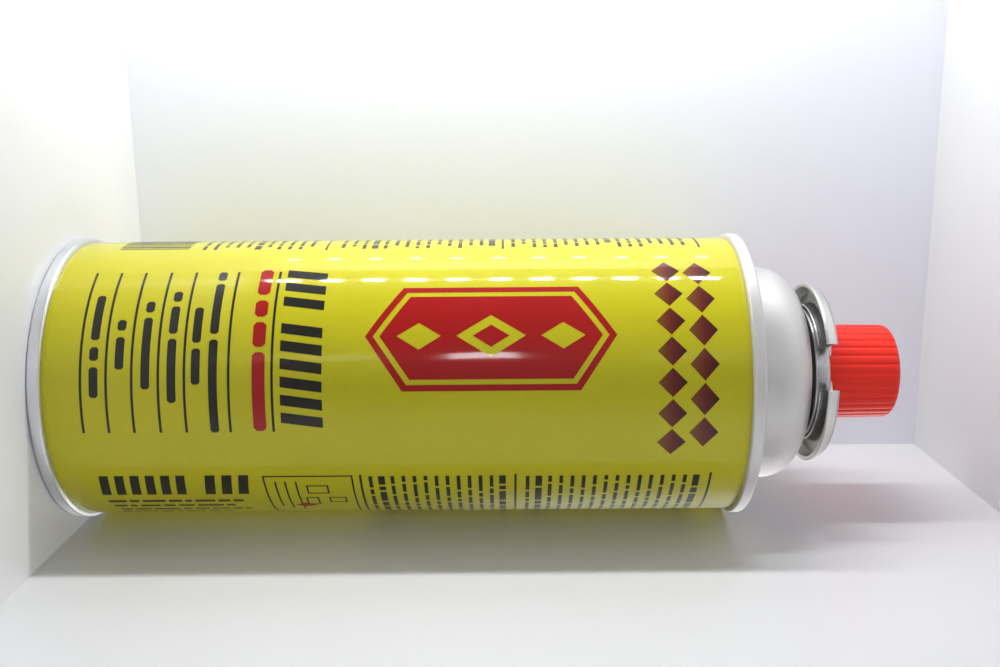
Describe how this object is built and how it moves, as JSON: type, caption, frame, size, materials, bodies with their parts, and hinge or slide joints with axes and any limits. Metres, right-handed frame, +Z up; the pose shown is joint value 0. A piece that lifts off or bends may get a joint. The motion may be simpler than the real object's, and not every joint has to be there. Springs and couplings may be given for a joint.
{
  "type": "fuel canister",
  "caption": "Sealed butane gas cartridge: yellow printed can with double seams, domed top, notched mounting flange, press-in valve stem and ribbed red cap.",
  "frame": {"origin": "centre of the circle on which the bottom seam stands", "axes": "+Z up along the can's axis towards the cap, -Y towards the notch in the mounting flange, +X to the right of the notch seen from the front"},
  "size_m": [0.0676, 0.0676, 0.1959],
  "materials": {
    "printed_tinplate": "gloss",
    "plain_tinplate": "satin",
    "black_rubber": "matte",
    "white_plastic": "matte",
    "spring_wire": "bright",
    "brass_stem": "satin",
    "red_plastic": "satin"
  },
  "bodies": {
    "can": {"sealed_can": "printed_tinplate", "cup_gasket": "black_rubber", "valve_cup": "plain_tinplate", "mounting_flange": "plain_tinplate", "stem_gasket": "black_rubber", "valve_housing": "white_plastic", "valve_spring": "spring_wire"},
    "stem": {"valve_stem": "brass_stem"},
    "cap": {"cap": "red_plastic"}
  },
  "joints": [
    {"name": "cap_pull", "type": "slide", "parent": "can", "child": "cap", "axis": [0, 0, 1], "range_m": [0, 0.025]},
    {"name": "stem_press", "type": "slide", "parent": "can", "child": "stem", "axis": [0, 0, -1], "range_m": [0, 0.002], "stiffness_N_per_m": 4000, "deforming": ["valve_spring"]}
  ]
}
